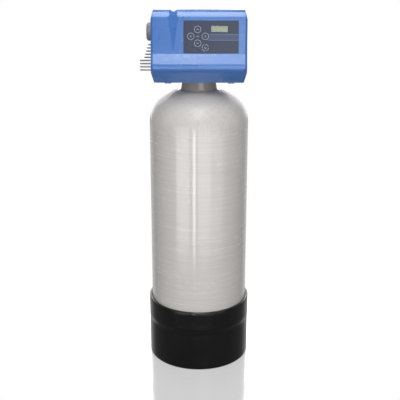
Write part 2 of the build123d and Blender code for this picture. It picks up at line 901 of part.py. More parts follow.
def rear_housing():
    front = -parting_reach + seam_gap
    inner_front = front - 2 * housing_wall

    def is_upper(corner):
        return corner.Y > front + edge_margin and corner.Z > floor_z + edge_margin

    blank = end_bevelled(rear_outline(front), is_upper)
    cavity = trimmed(offset(rear_outline(inner_front), -housing_wall), housing_wall)
    cavity -= groove_roof(housing_wall, housing_back, inner_front)
    shell = trimmed(rear_outline(front), 0) & blank
    shell -= cavity
    shell -= groove_roof(0, housing_back + cut_over, front - cut_over)
    shell -= neck_notch()
    shell -= along_x(shaft_radius + loose_fit, -half_width, -half_width + housing_wall, shaft_y, shaft_z)
    low = rib_zs[-1] - rib_thickness
    high = rib_zs[0] + rib_thickness
    y0 = rib_y - rib_depth / 2 - notch_clearance
    y1 = rib_y + rib_depth / 2 + notch_clearance
    inner_end = -half_width + bottom_trim_in + housing_wall
    shell -= block(-half_width, inner_end, y0, y1, low, high)
    gate_x = port_spacing / 2 + port_radius + gate_clearance
    gate_top = port_z + port_radius + gate_clearance
    gate = block(-gate_x, gate_x, housing_back - housing_wall, housing_back, floor_z, gate_top)
    shell -= chamfer(gate.edges().filter_by(Axis.Y).group_by(Axis.Z)[-1], gate_bevel)
    for place in lug_places(housing_back):
        shell -= screw_hole(place, housing_wall)
    return shell - rear_tile(socket_width / 2, socket_height / 2, housing_back - housing_wall, housing_back)


def rear_tile(half_x, half_z, y0, y1):
    """A block round the power inlet's axis."""
    z = floor_z + socket_up
    return block(socket_x - half_x, socket_x + half_x, y0, y1, z - half_z, z + half_z)


def power_inlet():
    """A two-pin inlet in the rear wall, with a shallow shroud outside."""
    half_x = socket_width / 2 - loose_fit
    half_z = socket_height / 2 - loose_fit
    back = housing_back
    lip = socket_lip
    body = rear_tile(half_x, half_z, back - socket_depth, back)
    body += rear_tile(half_x + lip, half_z + lip, back, back + lip)
    body -= rear_tile(half_x - lip, half_z - lip, back, back + lip)
    for side in (-1, 1):
        pin = rear_tile(inlet_pin / 2, inlet_pin / 2, back, back + lip / 2)
        body += at(side * inlet_pin_spacing / 2, 0, 0) * pin
    return body


# Control panel
def control_panel():
    sketch = RectangleRounded(panel_width, panel_drop, panel_corner)
    sketch -= Pos(window_x, window_up) * Rectangle(window_width, window_drop)
    for x, up, radius in key_places().values():
        sketch -= Pos(x, up) * RegularPolygon(radius + loose_fit, key_sides)
    return face * Pos(0, 0, -panel_recess) * extrude(sketch, panel_sheet)


def display_window():
    return panel_pocket(
        window_width - loose_fit,
        window_drop - loose_fit,
        panel_recess - panel_sheet,
        panel_recess,
        window_x,
        window_up,
    )


def lcd_module():
    case_front = housing_wall + loose_fit
    glass = panel_pocket(
        window_width - 2 * window_ledge - 2 * loose_fit,
        window_drop - 2 * window_ledge - 2 * loose_fit,
        panel_recess + loose_fit,
        case_front,
        window_x,
        window_up,
    )
    width = window_width + 2 * lcd_margin_x
    drop = window_drop + 2 * lcd_margin_up
    return glass + panel_pocket(width, drop, case_front, board_depth, window_x, window_up)


def circuit_board():
    """The board with a switch behind each key and a relay on its back."""
    back = board_depth + board_sheet
    board = panel_pocket(board_width, board_drop, board_depth, back)
    switch_front = key_top + key_thickness + key_stem + key_travel + loose_fit
    for x, up, _ in key_places().values():
        board += panel_pocket(switch_side, switch_side, switch_front, board_depth, x, up)
    return board + panel_pocket(chip_width, chip_drop, back, back + chip_height, chip_x, chip_up)


key_top = panel_recess - panel_sheet - key_proud


def key(x, up, radius):
    """A round pad in the overlay with a square stem towards its switch."""
    foot = key_top + key_thickness
    pad = Pos(x, up, -foot) * extrude(RegularPolygon(radius, key_sides), key_thickness)
    return face * pad + panel_pocket(stem_side, stem_side, foot, foot + key_stem, x, up)


def parts_list():
    parts = {
        "base_boot": base_boot(),
        "vessel_shell": vessel_shell(),
        "riser_tube": riser_tube(),
        "bottom_distributor": bottom_distributor(),
        "top_distributor": top_distributor(),
        "gravel_bed": gravel_bed(),
        "garnet_bed": garnet_bed(),
        "sand_bed": sand_bed(),
        "anthracite_bed": anthracite_bed(),
        "valve_body": valve_body(),
        "spool_piston": spool_piston(),
        "piston_rack": piston_rack(),
        "spool_cap": spool_cap(),
        "cap_screws": cap_screws(),
        "drive_bracket": drive_bracket(),
        "drive_shaft": drive_shaft(),
        "main_gear": main_gear(),
        "motor_pinion": motor_pinion(),
        "gear_motor": gear_motor(),
        "motor_screws": motor_screws(),
        "position_switch": position_switch(),
        "manual_knob": manual_knob(),
        "rear_housing": rear_housing(),
        "housing_screws": housing_screws(),
        "power_inlet": power_inlet(),
        "front_cover": front_cover(),
        "control_panel": control_panel(),
        "display_window": display_window(),
        "lcd_module": lcd_module(),
        "circuit_board": circuit_board(),
    }
    for name, (x, up, radius) in key_places().items():
        parts[name] = key(x, up, radius)
    return parts


os.makedirs("parts", exist_ok=True)
for node, solid in parts_list().items():
    export_step(solid, f"parts/{node}.step")
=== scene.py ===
import json
from functools import reduce
from math import asin, atan2, cos, pi, radians, sin

import bmesh
import bpy
from mathutils import Matrix, Vector


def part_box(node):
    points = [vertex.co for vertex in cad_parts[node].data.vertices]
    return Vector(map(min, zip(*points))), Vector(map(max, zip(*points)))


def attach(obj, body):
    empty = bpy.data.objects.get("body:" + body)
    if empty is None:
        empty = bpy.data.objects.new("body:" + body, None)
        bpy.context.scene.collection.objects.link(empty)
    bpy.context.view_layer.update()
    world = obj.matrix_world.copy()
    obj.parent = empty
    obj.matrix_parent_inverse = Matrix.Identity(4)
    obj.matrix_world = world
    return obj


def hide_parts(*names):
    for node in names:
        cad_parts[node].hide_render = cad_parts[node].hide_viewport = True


bl_info = {
    "name": "Multimedia water filter",
    "version": (1, 0, 0),
    "blender": (4, 5, 0),
    "location": "View3D > Sidebar > Water filter",
    "description": "Dresses the packed model of an upright water filter with a motor-driven control valve",
    "category": "Object",
}

MM = 0.001
PORT_HEIGHT = 0.824  # of the ports and the housing's screws
ROUND_STEPS = 160  # round the vessel and the boot
WHITE = (1.0, 1.0, 1.0, 1.0)
DUST = (0.55, 0.53, 0.5, 1.0)
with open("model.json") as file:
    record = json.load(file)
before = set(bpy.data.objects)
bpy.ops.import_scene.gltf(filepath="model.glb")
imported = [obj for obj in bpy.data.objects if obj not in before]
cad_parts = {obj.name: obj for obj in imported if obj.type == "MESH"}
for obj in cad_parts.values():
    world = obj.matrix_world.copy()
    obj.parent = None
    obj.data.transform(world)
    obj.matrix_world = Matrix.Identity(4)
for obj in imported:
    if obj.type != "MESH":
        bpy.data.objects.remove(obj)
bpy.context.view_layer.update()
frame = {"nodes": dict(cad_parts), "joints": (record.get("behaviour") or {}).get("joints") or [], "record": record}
nodes = frame["nodes"]
joints = {joint["name"]: joint for joint in frame["joints"]}
groups = frame["record"]["behaviour"]["bodies"]
body_of_node = {node: body for body, members in groups.items() for node in members}
slot_of_node = {part["node"]: part["material_slot"] for part in frame["record"]["subparts"]}


def middle(node):
    low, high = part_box(node)
    return (low + high) / 2


def extent(node):
    low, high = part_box(node)
    return high - low


# Sizes and colours
def length(name, default, description):
    return bpy.props.FloatProperty(
        name=name, default=default, description=description, unit="LENGTH", precision=4
    )


def colour(name, default, description):
    return bpy.props.FloatVectorProperty(
        name=name, default=default, description=description, subtype="COLOR", size=3, min=0.0, max=1.0
    )


def angle(name, degrees, description):
    return bpy.props.FloatProperty(
        name=name, default=radians(degrees), description=description, subtype="ANGLE", unit="ROTATION"
    )


class VesselSettings(bpy.types.PropertyGroup):
    radius: length("Radius", extent("vessel_shell").x / 2, "Outer radius of the wound wall")
    wall: length("Wall", 0.006, "Thickness of the wound wall")
    shoulder: length("Shoulder", 0.658, "Height where the dome starts")
    dome: length("Dome", 0.0925, "Rise of the dome's crown above the shoulder")
    knuckle: length("Knuckle", 0.076, "Radius of the dome's knuckle")
    neck_radius: length("Neck radius", 0.0475, "Outer radius of the neck's foot")
    neck_taper: length("Neck taper", 0.0035, "How far the neck's top is inside its foot")
    neck_fillet: length("Neck fillet", 0.009, "Radius between the dome and the neck")
    bore: length("Neck bore", 0.0366, "Radius of the neck's opening")
    relief: length("Winding relief", 0.00007, "Depth of the wound bands")
    resin: colour("Resin", (0.70, 0.68, 0.655), "Colour of the wound shell")
    streak: colour("Streak", (0.52, 0.475, 0.445), "Colour of the darker strands")


class BootSettings(bpy.types.PropertyGroup):
    plastic: colour("Plastic", (0.0018, 0.0017, 0.002), "Colour of the boot")
    step: length("Step height", 0.112, "Height of the fine step round the boot")
    step_depth: length("Step depth", 0.0007, "How far the wall steps in below it")
    rim_round: length("Rim rounding", 0.002, "Radius of the rim's edges")


class HousingSettings(bpy.types.PropertyGroup):
    plastic: colour("Plastic", (0.052, 0.172, 0.50), "Colour of the housing")
    knob: colour("Knob", (0.27, 0.262, 0.27), "Colour of the manual knob")
    soft_edge: length("Soft edge", 0.0012, "Width of the rounding along the housing's edges")
    groove_x: length("Groove", -0.0626, "Across, from the middle of the housing to the groove")
    groove_half: length("Groove half width", 0.0147, "At the housing's brow")
    groove_depth: length("Groove depth", 0.0069, "At the housing's brow")
    groove_run: length("Groove run", 0.1055, "From the brow down to the groove's tip")
    groove_tip: length("Groove tip", 0.8475, "Height of the groove's tip")


class PanelSettings(bpy.types.PropertyGroup):
    overlay: colour("Overlay", (0.038, 0.050, 0.088), "Colour of the panel's overlay")
    band: colour("Band", (0.062, 0.086, 0.165), "Colour of the lighter band beside the keys")
    ink: colour("Ink", (0.46, 0.50, 0.63), "Colour of the printed rings and arrows")
    display: colour("Display", (0.31, 0.345, 0.245), "Colour of the display")
    ring_width: length("Ring width", 0.0009, "Width of the printed rings")


class StageSettings(bpy.types.PropertyGroup):
    floor_size: length("Floor size", 12.0, "Side of the pale floor")
    distance: length("Camera distance", 2.163, "From the vessel's axis to the camera")
    aside: length("Camera offset", 0.0031, "To the camera's right of the vessel's axis")
    height: length("Camera height", 1.159, "Above the floor")
    tilt: angle("Camera tilt", 18.39, "Downwards")
    roll: angle("Camera roll", 0.095, "About its own line of sight")
    focal: bpy.props.FloatProperty(name="Focal length", default=76.14, description="In millimetres", min=1.0)


# Materials
def fill(tree, node, inputs):
    """Links the sockets among a node's inputs and sets the rest."""
    for name, value in inputs.items():
        if isinstance(value, bpy.types.NodeSocket):
            tree.links.new(value, node.inputs[name])
        else:
            node.inputs[name].default_value = value
    return node


def add(tree, kind, inputs=None, **settings):
    node = tree.nodes.new(kind)
    for name, value in settings.items():
        setattr(node, name, value)
    return fill(tree, node, inputs or {})


def derive(kind, inputs, **settings):
    """The outputs of a node added to the tree that its first linked input is in."""
    linked = [value for value in inputs.values() if isinstance(value, bpy.types.NodeSocket)]
    return add(linked[0].id_data, kind, inputs, **settings).outputs


def math(operation, a, b=0.0, clamp=False):
    return derive("ShaderNodeMath", {0: a, 1: b}, operation=operation, use_clamp=clamp)[0]


def plus(*values):
    return reduce(lambda a, b: math("ADD", a, b), values)


def minus(a, b):
    return math("SUBTRACT", a, b)


def times(*values):
    return reduce(lambda a, b: math("MULTIPLY", a, b), values)


def split(vector):
    return derive("ShaderNodeSeparateXYZ", {0: vector})


def remap(value, low, high, new_low=0.0, new_high=1.0):
    ins = {"Value": value, "From Min": low, "From Max": high, "To Min": new_low, "To Max": new_high}
    return derive("ShaderNodeMapRange", ins)["Result"]


def blend_value(factor, a, b):
    return derive("ShaderNodeMix", {0: factor, 2: a, 3: b}, data_type="FLOAT")[0]


def blend(factor, a, b):
    return derive("ShaderNodeMix", {0: factor, 6: a, 7: b}, data_type="RGBA")[2]


def noise(vector, scale, detail=2.0, stretch=None):
    if stretch is not None:
        vector = derive("ShaderNodeMapping", {"Vector": vector, "Scale": stretch})[0]
    ins = {"Vector": vector, "Scale": scale, "Detail": detail}
    return derive("ShaderNodeTexNoise", ins)["Fac"]


def object_place(tree):
    return add(tree, "ShaderNodeTexCoord").outputs["Object"]


def new_group(name, inputs, outputs):
    """A node group that takes a vector and some numbers, and gives numbers."""
    tree = bpy.data.node_groups.new(name, "ShaderNodeTree")
    tree.interface.new_socket("Vector", in_out="INPUT", socket_type="NodeSocketVector")
    for label, default in inputs.items():
        socket = tree.interface.new_socket(label, in_out="INPUT", socket_type="NodeSocketFloat")
        socket.default_value = default
    for label in outputs:
        tree.interface.new_socket(label, in_out="OUTPUT", socket_type="NodeSocketFloat")
    return tree, tree.nodes.new("NodeGroupInput").outputs, tree.nodes.new("NodeGroupOutput")


def edge_wear_group():
    """Rubbed edges: where the surface is sharply convex, broken up by noise."""
    tree, given, out = new_group("Edge wear", {"Amount": 0.5}, ["Mask"])
    point = add(tree, "ShaderNodeNewGeometry").outputs["Pointiness"]
    edge = remap(point, 0.515, 0.60)
    spots = remap(noise(given["Vector"], 90.0, 4.0), 0.42, 0.66)
    mask = math("MULTIPLY", times(edge, spots), given["Amount"], clamp=True)
    fill(tree, out, {"Mask": mask})
    return tree


def moulded_grain_group():
    """The fine even grain and faint flow marks of moulded plastic."""
    ins = {"Scale": 900.0, "Roughness": 0.4, "Spread": 0.06}
    tree, given, out = new_group("Moulded grain", ins, ["Shade", "Roughness", "Height"])
    fine = noise(given["Vector"], given["Scale"], 3.0)
    broad = noise(given["Vector"], 14.0, 3.0)
    shade = remap(broad, 0.3, 0.7, 0.955, 1.03)
    uneven = times(minus(broad, 0.5), given["Spread"])
    rough = plus(given["Roughness"], times(uneven, 4.0))
    fill(tree, out, {"Shade": shade, "Roughness": math("MAXIMUM", rough, 0.03), "Height": fine})
    return tree


def dust_group():
    """Light dust on what faces upwards."""
    tree, given, out = new_group("Settled dust", {"Amount": 0.2}, ["Mask"])
    normal = add(tree, "ShaderNodeNewGeometry").outputs["Normal"]
    upward = remap(split(normal)["Z"], 0.55, 1.0)
    cloudy = remap(noise(given["Vector"], 35.0, 5.0), 0.35, 0.75)
    mask = math("MULTIPLY", times(upward, cloudy), given["Amount"], clamp=True)
    fill(tree, out, {"Mask": mask})
    return tree


def winding_group():
    """Wound strands: hoops round the wall, slanted ones under them, crossing arcs on the dome."""
    ins = {"Shoulder": 0.658, "Neck": 0.052, "Slant": 0.1}
    outs = ["Hoops", "Crossing", "Dome", "Neck", "Height"]
    tree, given, out = new_group("Filament winding", ins, outs)
    place = given["Vector"]
    x, y, z = split(place)
    hoops = noise(place, 1.0, 3.0, stretch=(4.0, 4.0, 240.0))
    fine = noise(place, 1.0, 2.0, stretch=(9.0, 9.0, 900.0))
    slanted = []
    for side in (1.0, -1.0):
        lean = times(x, given["Slant"], side)
        shifted = derive("ShaderNodeCombineXYZ", {0: x, 1: y, 2: plus(z, lean)})[0]
        slanted.append(noise(shifted, 1.0, 2.0, stretch=(3.0, 3.0, 160.0)))
    angle = math("ARCTAN2", y, x)
    reach = math("SQRT", plus(times(x, x), times(y, y)))
    sweep = times(reach, 19.0)
    crossing = []
    for side, counts in ((1.0, (23.0, 61.0, 97.0)), (-1.0, (29.0, 53.0, 89.0))):
        turned = plus(angle, times(sweep, side))
        waves = [math("SINE", times(turned, count)) for count in counts]
        crossing.append(times(plus(*waves), 0.16))
    dome = remap(minus(z, given["Shoulder"]), -0.02, 0.035)
    neck = times(remap(reach, plus(given["Neck"], 0.006), given["Neck"]), dome)
    dome = minus(dome, neck)
    wall = minus(1.0, dome)
    net = plus(math("MAXIMUM", *crossing), 0.4)
    cells = noise(place, 1.0, 2.0, stretch=(55.0, 55.0, 105.0))
    mixed = plus(*(times(strands, 0.5) for strands in slanted))
    hoop_height = plus(times(hoops, 0.55), times(mixed, 0.45))
    height = plus(
        times(hoop_height, wall), times(net, dome), times(fine, 0.22), times(cells, wall, 0.8)
    )
    lines = plus(times(hoops, 0.35), times(fine, 0.65))
    results = {
        "Hoops": blend_value(dome, lines, 0.5),
        "Crossing": blend_value(dome, 0.5, net),
        "Dome": dome,
        "Neck": neck,
        "Height": height,
    }
    fill(tree, out, results)
    return tree


def grains_group():
    """Loose grains: cells of slightly different shades."""
    tree, given, out = new_group("Loose grains", {"Scale": 300.0, "Contrast": 0.5}, ["Shade", "Height"])
    cells = derive("ShaderNodeTexVoronoi", {"Vector": given["Vector"], "Scale": given["Scale"]})
    tone = derive("ShaderNodeSeparateColor", {0: cells["Color"]})[0]
    uneven = times(minus(tone, 0.5), given["Contrast"])
    height = minus(1.0, cells["Distance"])
    fill(tree, out, {"Shade": plus(1.0, uneven), "Height": height})
    return tree


shared = {}


def shared_group(maker):
    if maker not in shared:
        shared[maker] = maker()
    return shared[maker]


def place_group(maker, place, **inputs):
    return derive("ShaderNodeGroup", {"Vector": place, **inputs}, node_tree=shared_group(maker))


def rgba(values):
    return (values[0], values[1], values[2], 1.0)


def new_material(name):
    """A material and the place of a point in its object."""
    material = bpy.data.materials.new(name)
    material.use_nodes = True
    return material, object_place(material.node_tree)


def give_looks(material, looks):
    tree = material.node_tree
    fill(tree, tree.nodes["Principled BSDF"], looks)
    return material


def shaded(tone, shade):
    """A colour made lighter or darker by a factor that changes over the surface."""
    return derive("ShaderNodeVectorMath", {0: tone, 1: shade}, operation="MULTIPLY")[0]


def bump(height, strength, distance):
    ins = {"Height": height, "Strength": strength, "Distance": distance}
    return derive("ShaderNodeBump", ins)["Normal"]


def plastic(
    name, tone, roughness=0.4, grain=900.0, relief=0.00003, wear=0.25, worn=None, dust=0.12, coat=0.0
):
    """Moulded plastic with grain, lighter rubbed edges and a little dust."""
    material, place = new_material(name)
    texture = place_group(moulded_grain_group, place, Scale=grain, Roughness=roughness)
    worn = worn or [min(1.0, value * 1.6 + 0.02) for value in tone]
    edge = place_group(edge_wear_group, place, Amount=wear)["Mask"]
    dusty = place_group(dust_group, place, Amount=dust)["Mask"]
    base = blend(edge, shaded(tone, texture["Shade"]), rgba(worn))
    looks = {
        "Base Color": blend(dusty, base, DUST),
        "Roughness": texture["Roughness"],
        "Normal": bump(texture["Height"], 0.6, relief),
    }
    if coat:
        looks.update({"Coat Weight": coat, "Coat Roughness": 0.2})
    return give_looks(material, looks)


def metal(name, tone, roughness=0.35, streaks=(40.0, 40.0, 900.0)):
    """Sheet or turned metal with brushed streaks and brighter edges."""
    material, place = new_material(name)
    brushed = noise(place, 1.0, 3.0, stretch=streaks)
    edge = place_group(edge_wear_group, place, Amount=0.6)["Mask"]
    base = shaded(tone, remap(brushed, 0.3, 0.7, 0.9, 1.06))
    worn = rgba([min(1.0, value * 1.25 + 0.05) for value in tone])
    looks = {
        "Base Color": blend(edge, base, worn),
        "Roughness": remap(brushed, 0.3, 0.7, roughness - 0.08, roughness + 0.1),
        "Normal": bump(brushed, 0.3, 0.00002),
        "Metallic": 1.0,
    }
    return give_looks(material, looks)


def wound_resin(name, settings):
    material, place = new_material(name)
    neck = settings.neck_radius + 0.003
    winding = place_group(winding_group, place, Shoulder=settings.shoulder, Neck=neck)
    cloud = noise(place, 9.0, 3.0, stretch=(1.0, 1.0, 2.2))
    resin, streak = rgba(settings.resin), rgba(settings.streak)
    tone = blend(remap(winding["Hoops"], 0.62, 0.30, 0.0, 0.45), resin, streak)
    tone = blend(remap(winding["Crossing"], 0.62, 0.22, 0.0, 0.36), tone, streak)
    tone = shaded(tone, remap(cloud, 0.3, 0.7, 0.98, 1.02))
    # Painted shade: the dome, which faces up, is painted up to 14 % darker than the wall
    tone = shaded(tone, remap(winding["Dome"], 0.0, 1.0, 1.0, 0.86))
    rough = remap(winding["Height"], 0.2, 1.4, 0.16, 0.30)
    looks = {
        "Base Color": blend(winding["Neck"], tone, (0.30, 0.27, 0.245, 1.0)),
        "Roughness": plus(rough, times(winding["Dome"], 0.2)),
        "Coat Weight": remap(winding["Dome"], 0.0, 1.0, 0.8, 0.12),
        "Coat Roughness": 0.07,
        "Normal": bump(winding["Height"], 0.5, 0.0006),
    }
    return give_looks(material, looks)


def loose_bed(name, tone, scale, contrast):
    material, place = new_material(name)
    grains = place_group(grains_group, place, Scale=scale, Contrast=contrast)
    looks = {
        "Base Color": shaded(tone, grains["Shade"]),
        "Roughness": 0.8,
        "Normal": bump(grains["Height"], 1.0, 0.6 / scale),
    }
    return give_looks(material, looks)


def overlay_print(name, settings, with_band):
    """The panel's printed foil. The band and its two fine lines are placed in the panel's own plane."""
    material, place = new_material(name)
    texture = place_group(moulded_grain_group, place, Scale=1500.0, Roughness=0.3, Spread=0.04)
    edge = place_group(edge_wear_group, place, Amount=0.2)["Mask"]
    base = shaded(tuple(settings.overlay), texture["Shade"])
    if with_band:
        x, _, z = split(place)
        centre = middle("control_panel")
        band, upper, lower = (-0.0079, 0.0072), (0.0063, 0.0072), (-0.0079, -0.0070)
        strips = []
        for low, high in (band, upper, lower):
            above = math("GREATER_THAN", z, centre.z + low)
            below = math("LESS_THAN", z, centre.z + high)
            strips.append(times(above, below))
        start = remap(x, centre.x - 0.012, centre.x - 0.002)
        lines = times(math("MAXIMUM", *strips[1:]), start, 0.35)
        base = blend(times(strips[0], start), base, rgba(settings.band))
        base = blend(lines, base, rgba(settings.ink))
    looks = {
        "Base Color": blend(edge, base, rgba([value * 1.8 for value in settings.overlay])),
        "Roughness": texture["Roughness"],
        "Normal": bump(texture["Height"], 0.4, 0.00002),
    }
    return give_looks(material, looks)


def display_face(name, settings):
    """A reflective display with a faint raster of its cells, a painted lighter lower edge and a faint painted
    glow.
    """
    material, place = new_material(name)
    x, _, z = split(place)
    low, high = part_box("display_window")
    filled = []
    for value, start, pitch, gap in ((x, low.x, 0.00235, -0.75), (z, low.z, 0.006, -0.6)):
        phase = times(minus(value, start), 2 * pi / pitch)
        filled.append(math("GREATER_THAN", math("SINE", phase), gap))
    # Painted light and shade: the colour runs lighter towards the lower edge and darker towards the top
    base = shaded(tuple(settings.display), remap(z, low.z, high.z, 1.12, 0.9))
    base = blend(times(*filled, 0.03), base, (0.2, 0.24, 0.16, 1.0))
    # A faint painted glow in the display's own colour, though no lamp lights it from within
    looks = {"Base Color": base, "Emission Color": base, "Emission Strength": 0.1, "Roughness": 0.35}
    return give_looks(material, looks)


def clear_window(name):
    material, place = new_material(name)
    smears = noise(place, 60.0, 3.0)
    looks = {
        "Base Color": (0.93, 0.96, 0.93, 1.0),
        "Roughness": remap(smears, 0.3, 0.7, 0.02, 0.07),
        "Transmission Weight": 1.0,
        "IOR": 1.46,
    }
    return give_looks(material, looks)


def printed_ink(name, settings):
    material, place = new_material(name)
    patchy = noise(place, 700.0, 3.0)
    shade = remap(patchy, 0.3, 0.7, 0.88, 1.05)
    looks = {
        "Base Color": shaded(tuple(settings.ink), shade),
        "Roughness": remap(patchy, 0.3, 0.7, 0.35, 0.5),
    }
    return give_looks(material, looks)


finishes = {}


def make_finishes():
    scene = bpy.context.scene
    vessel, boot = scene.filter_vessel, scene.filter_boot
    housing, panel = scene.filter_housing, scene.filter_panel
    finishes.update({
        "boot_plastic": plastic(
            "Boot plastic", tuple(boot.plastic), 0.22, 600.0, 0.00004, 0.15, (0.03, 0.03, 0.032), 0.03
        ),
        "wound_shell": wound_resin("Wound shell", vessel),
        "pipe_plastic": plastic("Pipe plastic", (0.75, 0.75, 0.72), 0.45),
        "gravel": loose_bed("Gravel", (0.36, 0.31, 0.25), 160.0, 0.9),
        "garnet": loose_bed("Garnet", (0.2, 0.05, 0.035), 900.0, 0.7),
        "quartz_sand": loose_bed("Quartz sand", (0.62, 0.5, 0.32), 1100.0, 0.5),
        "anthracite": loose_bed("Anthracite", (0.02, 0.02, 0.022), 500.0, 0.9),
        "valve_plastic": plastic(
            "Valve plastic", (0.022, 0.021, 0.023), 0.42, 700.0, 0.00005, 0.35, (0.09, 0.09, 0.095), 0.1
        ),
        "spool_plastic": plastic("Spool plastic", (0.72, 0.72, 0.66), 0.35),
        "screw_steel": metal("Screw steel", (0.56, 0.56, 0.58), 0.3),
        "bracket_steel": metal("Bracket steel", (0.6, 0.61, 0.62), 0.38, (300.0, 30.0, 30.0)),
        "gear_plastic": plastic("Gear plastic", (0.8, 0.77, 0.66), 0.38),
        "pinion_brass": metal("Pinion brass", (0.78, 0.57, 0.24), 0.3, (900.0, 40.0, 40.0)),
        "motor_metal": metal("Motor metal", (0.33, 0.34, 0.36), 0.42, (40.0, 40.0, 400.0)),
        "switch_plastic": plastic("Switch plastic", (0.05, 0.05, 0.052), 0.45),
        "knob_plastic": plastic(
            "Knob plastic", tuple(housing.knob), 0.36, 700.0, 0.00004, 0.5, (0.3, 0.29, 0.3), 0.1
        ),
        "housing_plastic": plastic(
            "Housing plastic", tuple(housing.plastic), 0.30, 1100.0, 0.000025, 0.3, (0.16, 0.34, 0.68),
            dust=0.02, coat=0.85,
        ),
        "inlet_plastic": plastic("Inlet plastic", (0.02, 0.02, 0.02), 0.4),
        "overlay": overlay_print("Panel overlay", panel, True),
        "window": clear_window("Display window"),
        "lcd": display_face("Display face", panel),
        "board": plastic("Circuit board", (0.02, 0.16, 0.06), 0.35, 300.0, 0.0001),
        "keys": overlay_print("Key overlay", panel, False),
        "ink": printed_ink("Printed ink", panel),
    })


# Meshes
SHARP_BEND = 28.0  # degrees, from which an edge is rounded
FLAT_BEND = 0.6  # degrees, up to which two faces are joined
CREASE_BEND = 13.0  # degrees, from which a crease of the groove stays sharp
NOTCH_PATCH = 1.2 * MM  # how far back the notch's patch reaches
EDGE = 0.5 * MM  # rounding of the larger mouldings


def link_object(name, data):
    item = bpy.data.objects.new(name, data)
    bpy.context.scene.collection.objects.link(item)
    return item


def mesh_object(name, bm):
    mesh = bpy.data.meshes.new(name)
    bm.to_mesh(mesh)
    bm.free()
    return link_object(name, mesh)


def new_piece(name, bm, finish, body, replaced=(), place=None, smooth=True, weighted=True):
    """Closes a bmesh into an object with its finish, on its body."""
    if place:
        bmesh.ops.transform(bm, matrix=place, verts=bm.verts)
    bmesh.ops.recalc_face_normals(bm, faces=bm.faces)
    piece = mesh_object(name, bm)
    mesh = piece.data
    if smooth:
        mesh.polygons.foreach_set("use_smooth", [True] * len(mesh.polygons))
    if weighted:
        modifier = piece.modifiers.new("Weighted normals", "WEIGHTED_NORMAL")
        modifier.keep_sharp = True
    mesh.materials.append(finishes[finish])
    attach(piece, body)
    if replaced:
        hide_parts(*replaced)
    return piece


def weld(bm, distance=2e-6):
    bmesh.ops.remove_doubles(bm, verts=bm.verts, dist=distance)


def turned_solid(foot, moves, steps):
    """Draws a half section in the XZ plane, from its foot on Z, and spins it about Z into a closed solid.
    A move is a point and a number of parts, or an arc."""
    bm = bmesh.new()
    last = bm.verts.new((0.0, 0.0, foot))
    for move in moves:
        if move[0] == "to":
            _, x, z, parts = move
            begin = last.co.copy()
            end = Vector((x, 0.0, z))
            for i in range(parts):
                made = bmesh.ops.extrude_vert_indiv(bm, verts=[last])["verts"][0]
                made.co = begin.lerp(end, (i + 1) / parts)
                last = made
        else:
            _, x, z, angle, parts = move
            made = bmesh.ops.spin(
                bm, geom=[last], cent=(x, 0.0, z), axis=(0.0, 1.0, 0.0), dvec=(0.0, 0.0, 0.0), angle=angle,
                steps=parts,
            )
            last = made["geom_last"][0]
    bmesh.ops.spin(
        bm, geom=bm.verts[:] + bm.edges[:], cent=(0.0, 0.0, 0.0), axis=(0.0, 0.0, 1.0), dvec=(0.0, 0.0, 0.0),
        angle=2 * pi, steps=steps, use_merge=True,
    )
    weld(bm, 1e-6)
    return bm


def bevel(bm, edges, width, segments):
    bmesh.ops.bevel(
        bm, geom=edges, offset=width, offset_type="OFFSET", affect="EDGES", segments=segments, profile=0.5,
        clamp_overlap=True, material=-1,
    )


def block(bm, size):
    verts = bmesh.ops.create_cube(bm, size=1.0)["verts"]
    bmesh.ops.scale(bm, vec=size, verts=verts)
    return verts


def inside(point, low, high):
    return all(a <= b <= c for a, b, c in zip(low, point, high))


def within(edge, low, high):
    """Whether both ends of an edge lie inside a box."""
    return all(inside(vertex.co, low, high) for vertex in edge.verts)


def soften(bm, width, segments, wide, spared):
    """Rounds the sharp edges, but for those in the spared box. Edges that bend between the two limits of
    wide, in degrees, get its width."""
    soft, broad = [], []
    for edge in bm.edges:
        if len(edge.link_faces) != 2 or (spared and within(edge, *spared)):
            continue
        bend = edge.calc_face_angle()
        if bend < radians(SHARP_BEND):
            continue
        if wide and radians(wide[0]) < bend < radians(wide[1]):
            broad.append(edge)
        else:
            soft.append(edge)
    for edges, size in ((broad, wide[2] if wide else 0.0), (soft, width)):
        edges = [edge for edge in edges if edge.is_valid]
        if edges and size:
            bevel(bm, edges, size, segments)


def hull(points):
    """The closed convex form round some points."""
    bm = bmesh.new()
    corners = [bm.verts.new(point) for point in points]
    bmesh.ops.convex_hull(bm, input=corners)
    bmesh.ops.recalc_face_normals(bm, faces=bm.faces)
    return bm


def fill_notch(bm, low, high):
    """Fills a notch in the front with the hull of its corners, which are those in a box."""
    corners = [vertex.co for vertex in bm.verts if inside(vertex.co, low, high)]
    patch = hull(corner + Vector((0.0, back, 0.0)) for corner in corners for back in (0.0, NOTCH_PATCH))
    carve(bm, patch, "UNION")
    weld(bm)


def softened_copy(node, width, segments=2, wide=None, cutter=None, spared=None, notch=None):
    """A CAD node's form with rounded edges: merged, cut or filled where asked, its flat faces joined, and
    its sharp edges bevelled."""
    bm = bmesh.new()
    bm.from_mesh(nodes[node].data)
    weld(bm)
    if cutter:
        carve(bm, cutter)
        weld(bm)
    if notch:
        fill_notch(bm, *notch)
    bmesh.ops.dissolve_limit(bm, angle_limit=radians(FLAT_BEND), verts=bm.verts, edges=bm.edges)
    soften(bm, width, segments, wide, spared)
    slot = slot_of_node[node]
    return new_piece(node + "_soft", bm, slot, body_of_node[node], (node,))


